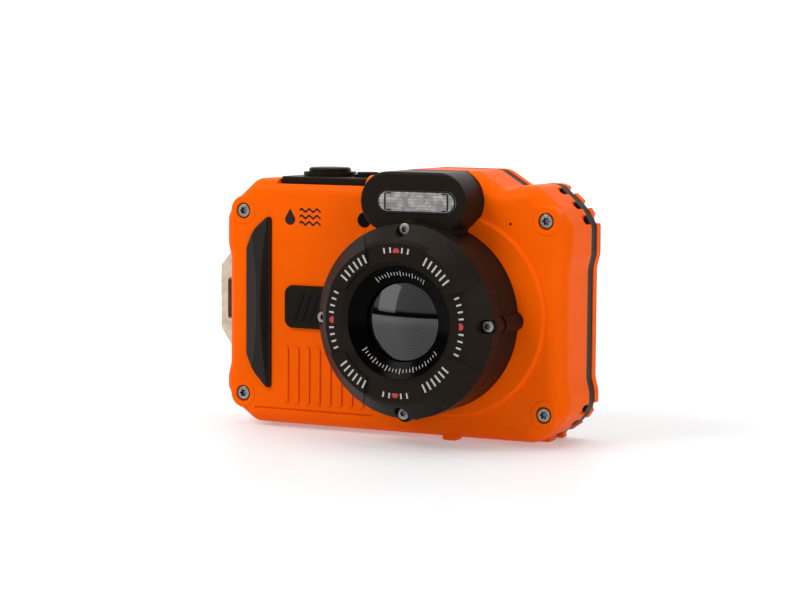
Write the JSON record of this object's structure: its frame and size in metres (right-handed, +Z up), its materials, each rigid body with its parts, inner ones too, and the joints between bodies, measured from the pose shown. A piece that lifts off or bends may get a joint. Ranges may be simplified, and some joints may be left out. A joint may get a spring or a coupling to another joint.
{
  "type": "action camera",
  "caption": "Waterproof compact action camera with a screwed round lens bezel, raised flash, side grip, strap lug, sealed keys and a hinged battery door.",
  "frame": {"origin": "centre of the mouth of the tripod socket in the underside, straight below the lens axis; the feet reach 1 mm lower", "axes": "+X viewer's right when facing the lens, the lens faces -Y, +Z up"},
  "size_m": [0.116, 0.0517, 0.0777],
  "materials": {
    "orange_shell": "satin moulded polycarbonate",
    "black_plastic": "fine satin grain",
    "black_gloss": "polished",
    "black_rubber": "matt rubber",
    "clear_glass": "polished, clear",
    "lens_glass": "polished, coated",
    "smoked_window": "dark tinted",
    "screw_steel": "bright zinc",
    "pin_steel": "ground",
    "lug_metal": "champagne satin",
    "brass": "turned",
    "circuit_board": "solder mask",
    "battery_wrap": "printed film without text",
    "bright_reflector": "polished",
    "grey_key": "fine satin grain",
    "red_key": "satin"
  },
  "bodies": {
    "root": {"front_shell": "orange_shell", "rear_shell": "orange_shell", "body_gasket": "black_rubber", "front_cowl": "black_plastic", "bezel_seal": "black_rubber", "lens_bezel": "black_plastic", "mask_ring": "black_gloss", "lens_window": "clear_glass", "window_seal": "black_rubber", "lens_base": "black_plastic", "image_sensor": "black_gloss", "zoom_motor": "pin_steel", "flash_window": "clear_glass", "flash_tube": "clear_glass", "flash_reflector": "bright_reflector", "flash_capacitor": "battery_wrap", "grip_pad": "black_rubber", "emblem_plate": "black_plastic", "af_lamp_window": "smoked_window", "focus_lamp": "red_key", "microphone": "pin_steel", "top_plate": "black_plastic", "switch_board": "circuit_board", "button_membrane": "black_rubber", "key_board": "circuit_board", "screen_window": "black_gloss", "screen_panel": "black_gloss", "main_board": "circuit_board", "battery": "battery_wrap", "battery_tray": "black_plastic", "card_socket": "pin_steel", "memory_card": "black_plastic", "usb_port": "pin_steel", "speaker": "pin_steel", "tripod_socket": "brass", "strap_lug": "lug_metal", "hinge_pin": "pin_steel", "case_screws": "screw_steel", "bezel_screws": "screw_steel", "stem_seals": "black_rubber"},
    "shutter_button": {"shutter_button": "black_plastic"},
    "power_button": {"power_button": "black_plastic"},
    "zoom_rocker": {"zoom_rocker": "grey_key"},
    "record_button": {"record_button": "red_key"},
    "play_button": {"play_button": "grey_key"},
    "menu_button": {"menu_button": "grey_key"},
    "delete_button": {"delete_button": "grey_key"},
    "nav_pivot": {"nav_pivot": "grey_key"},
    "nav_pad": {"nav_pad": "grey_key"},
    "ok_button": {"ok_button": "grey_key"},
    "battery_door": {"battery_door": "black_plastic", "door_gasket": "black_rubber"},
    "door_latch": {"door_latch": "grey_key"},
    "outer_barrel": {"outer_barrel": "black_plastic"},
    "inner_barrel": {"inner_barrel": "black_plastic", "front_element": "lens_glass", "rear_element": "lens_glass"}
  },
  "joints": [
    {"name": "shutter_press", "type": "slide", "parent": "root", "child": "shutter_button", "axis": [0, 0, -1], "range_m": [0, 0.0012]},
    {"name": "power_press", "type": "slide", "parent": "root", "child": "power_button", "axis": [0, 0, -1], "range_m": [0, 0.0006]},
    {"name": "zoom_rock", "type": "hinge", "parent": "root", "child": "zoom_rocker", "pos_m": [-0.04585, 0.0136, 0.0625], "axis": [0, 0, 1], "range_deg": [-2.5, 2.5]},
    {"name": "record_press", "type": "slide", "parent": "root", "child": "record_button", "axis": [0, -1, 0], "range_m": [0, 0.0006]},
    {"name": "play_press", "type": "slide", "parent": "root", "child": "play_button", "axis": [0, -1, 0], "range_m": [0, 0.0006]},
    {"name": "menu_press", "type": "slide", "parent": "root", "child": "menu_button", "axis": [0, -1, 0], "range_m": [0, 0.0006]},
    {"name": "delete_press", "type": "slide", "parent": "root", "child": "delete_button", "axis": [0, -1, 0], "range_m": [0, 0.0006]},
    {"name": "nav_tilt_up_down", "type": "hinge", "parent": "root", "child": "nav_pivot", "pos_m": [-0.04585, 0.01265, 0.0365], "axis": [1, 0, 0], "range_deg": [-2.5, 2.5]},
    {"name": "nav_tilt_side", "type": "hinge", "parent": "nav_pivot", "child": "nav_pad", "pos_m": [-0.04585, 0.01265, 0.0365], "axis": [0, 0, 1], "range_deg": [-2.5, 2.5]},
    {"name": "ok_press", "type": "slide", "parent": "root", "child": "ok_button", "axis": [0, -1, 0], "range_m": [0, 0.0006]},
    {"name": "door_swing", "type": "hinge", "parent": "root", "child": "battery_door", "pos_m": [-0.06845, 0.0047, 0.0355], "axis": [0, 0, -1], "range_deg": [0, 95]},
    {"name": "latch_slide", "type": "slide", "parent": "battery_door", "child": "door_latch", "axis": [0, 0, -1], "range_m": [0, 0.0025]},
    {"name": "barrel_zoom", "type": "slide", "parent": "root", "child": "outer_barrel", "axis": [0, -1, 0], "range_m": [-0.0075, 0]},
    {"name": "inner_zoom", "type": "slide", "parent": "outer_barrel", "child": "inner_barrel", "axis": [0, -1, 0], "range_m": [-0.0105, 0]}
  ],
  "couplings": [
    {"joint": "inner_zoom", "follows": "barrel_zoom", "ratio": 1.4}
  ]
}
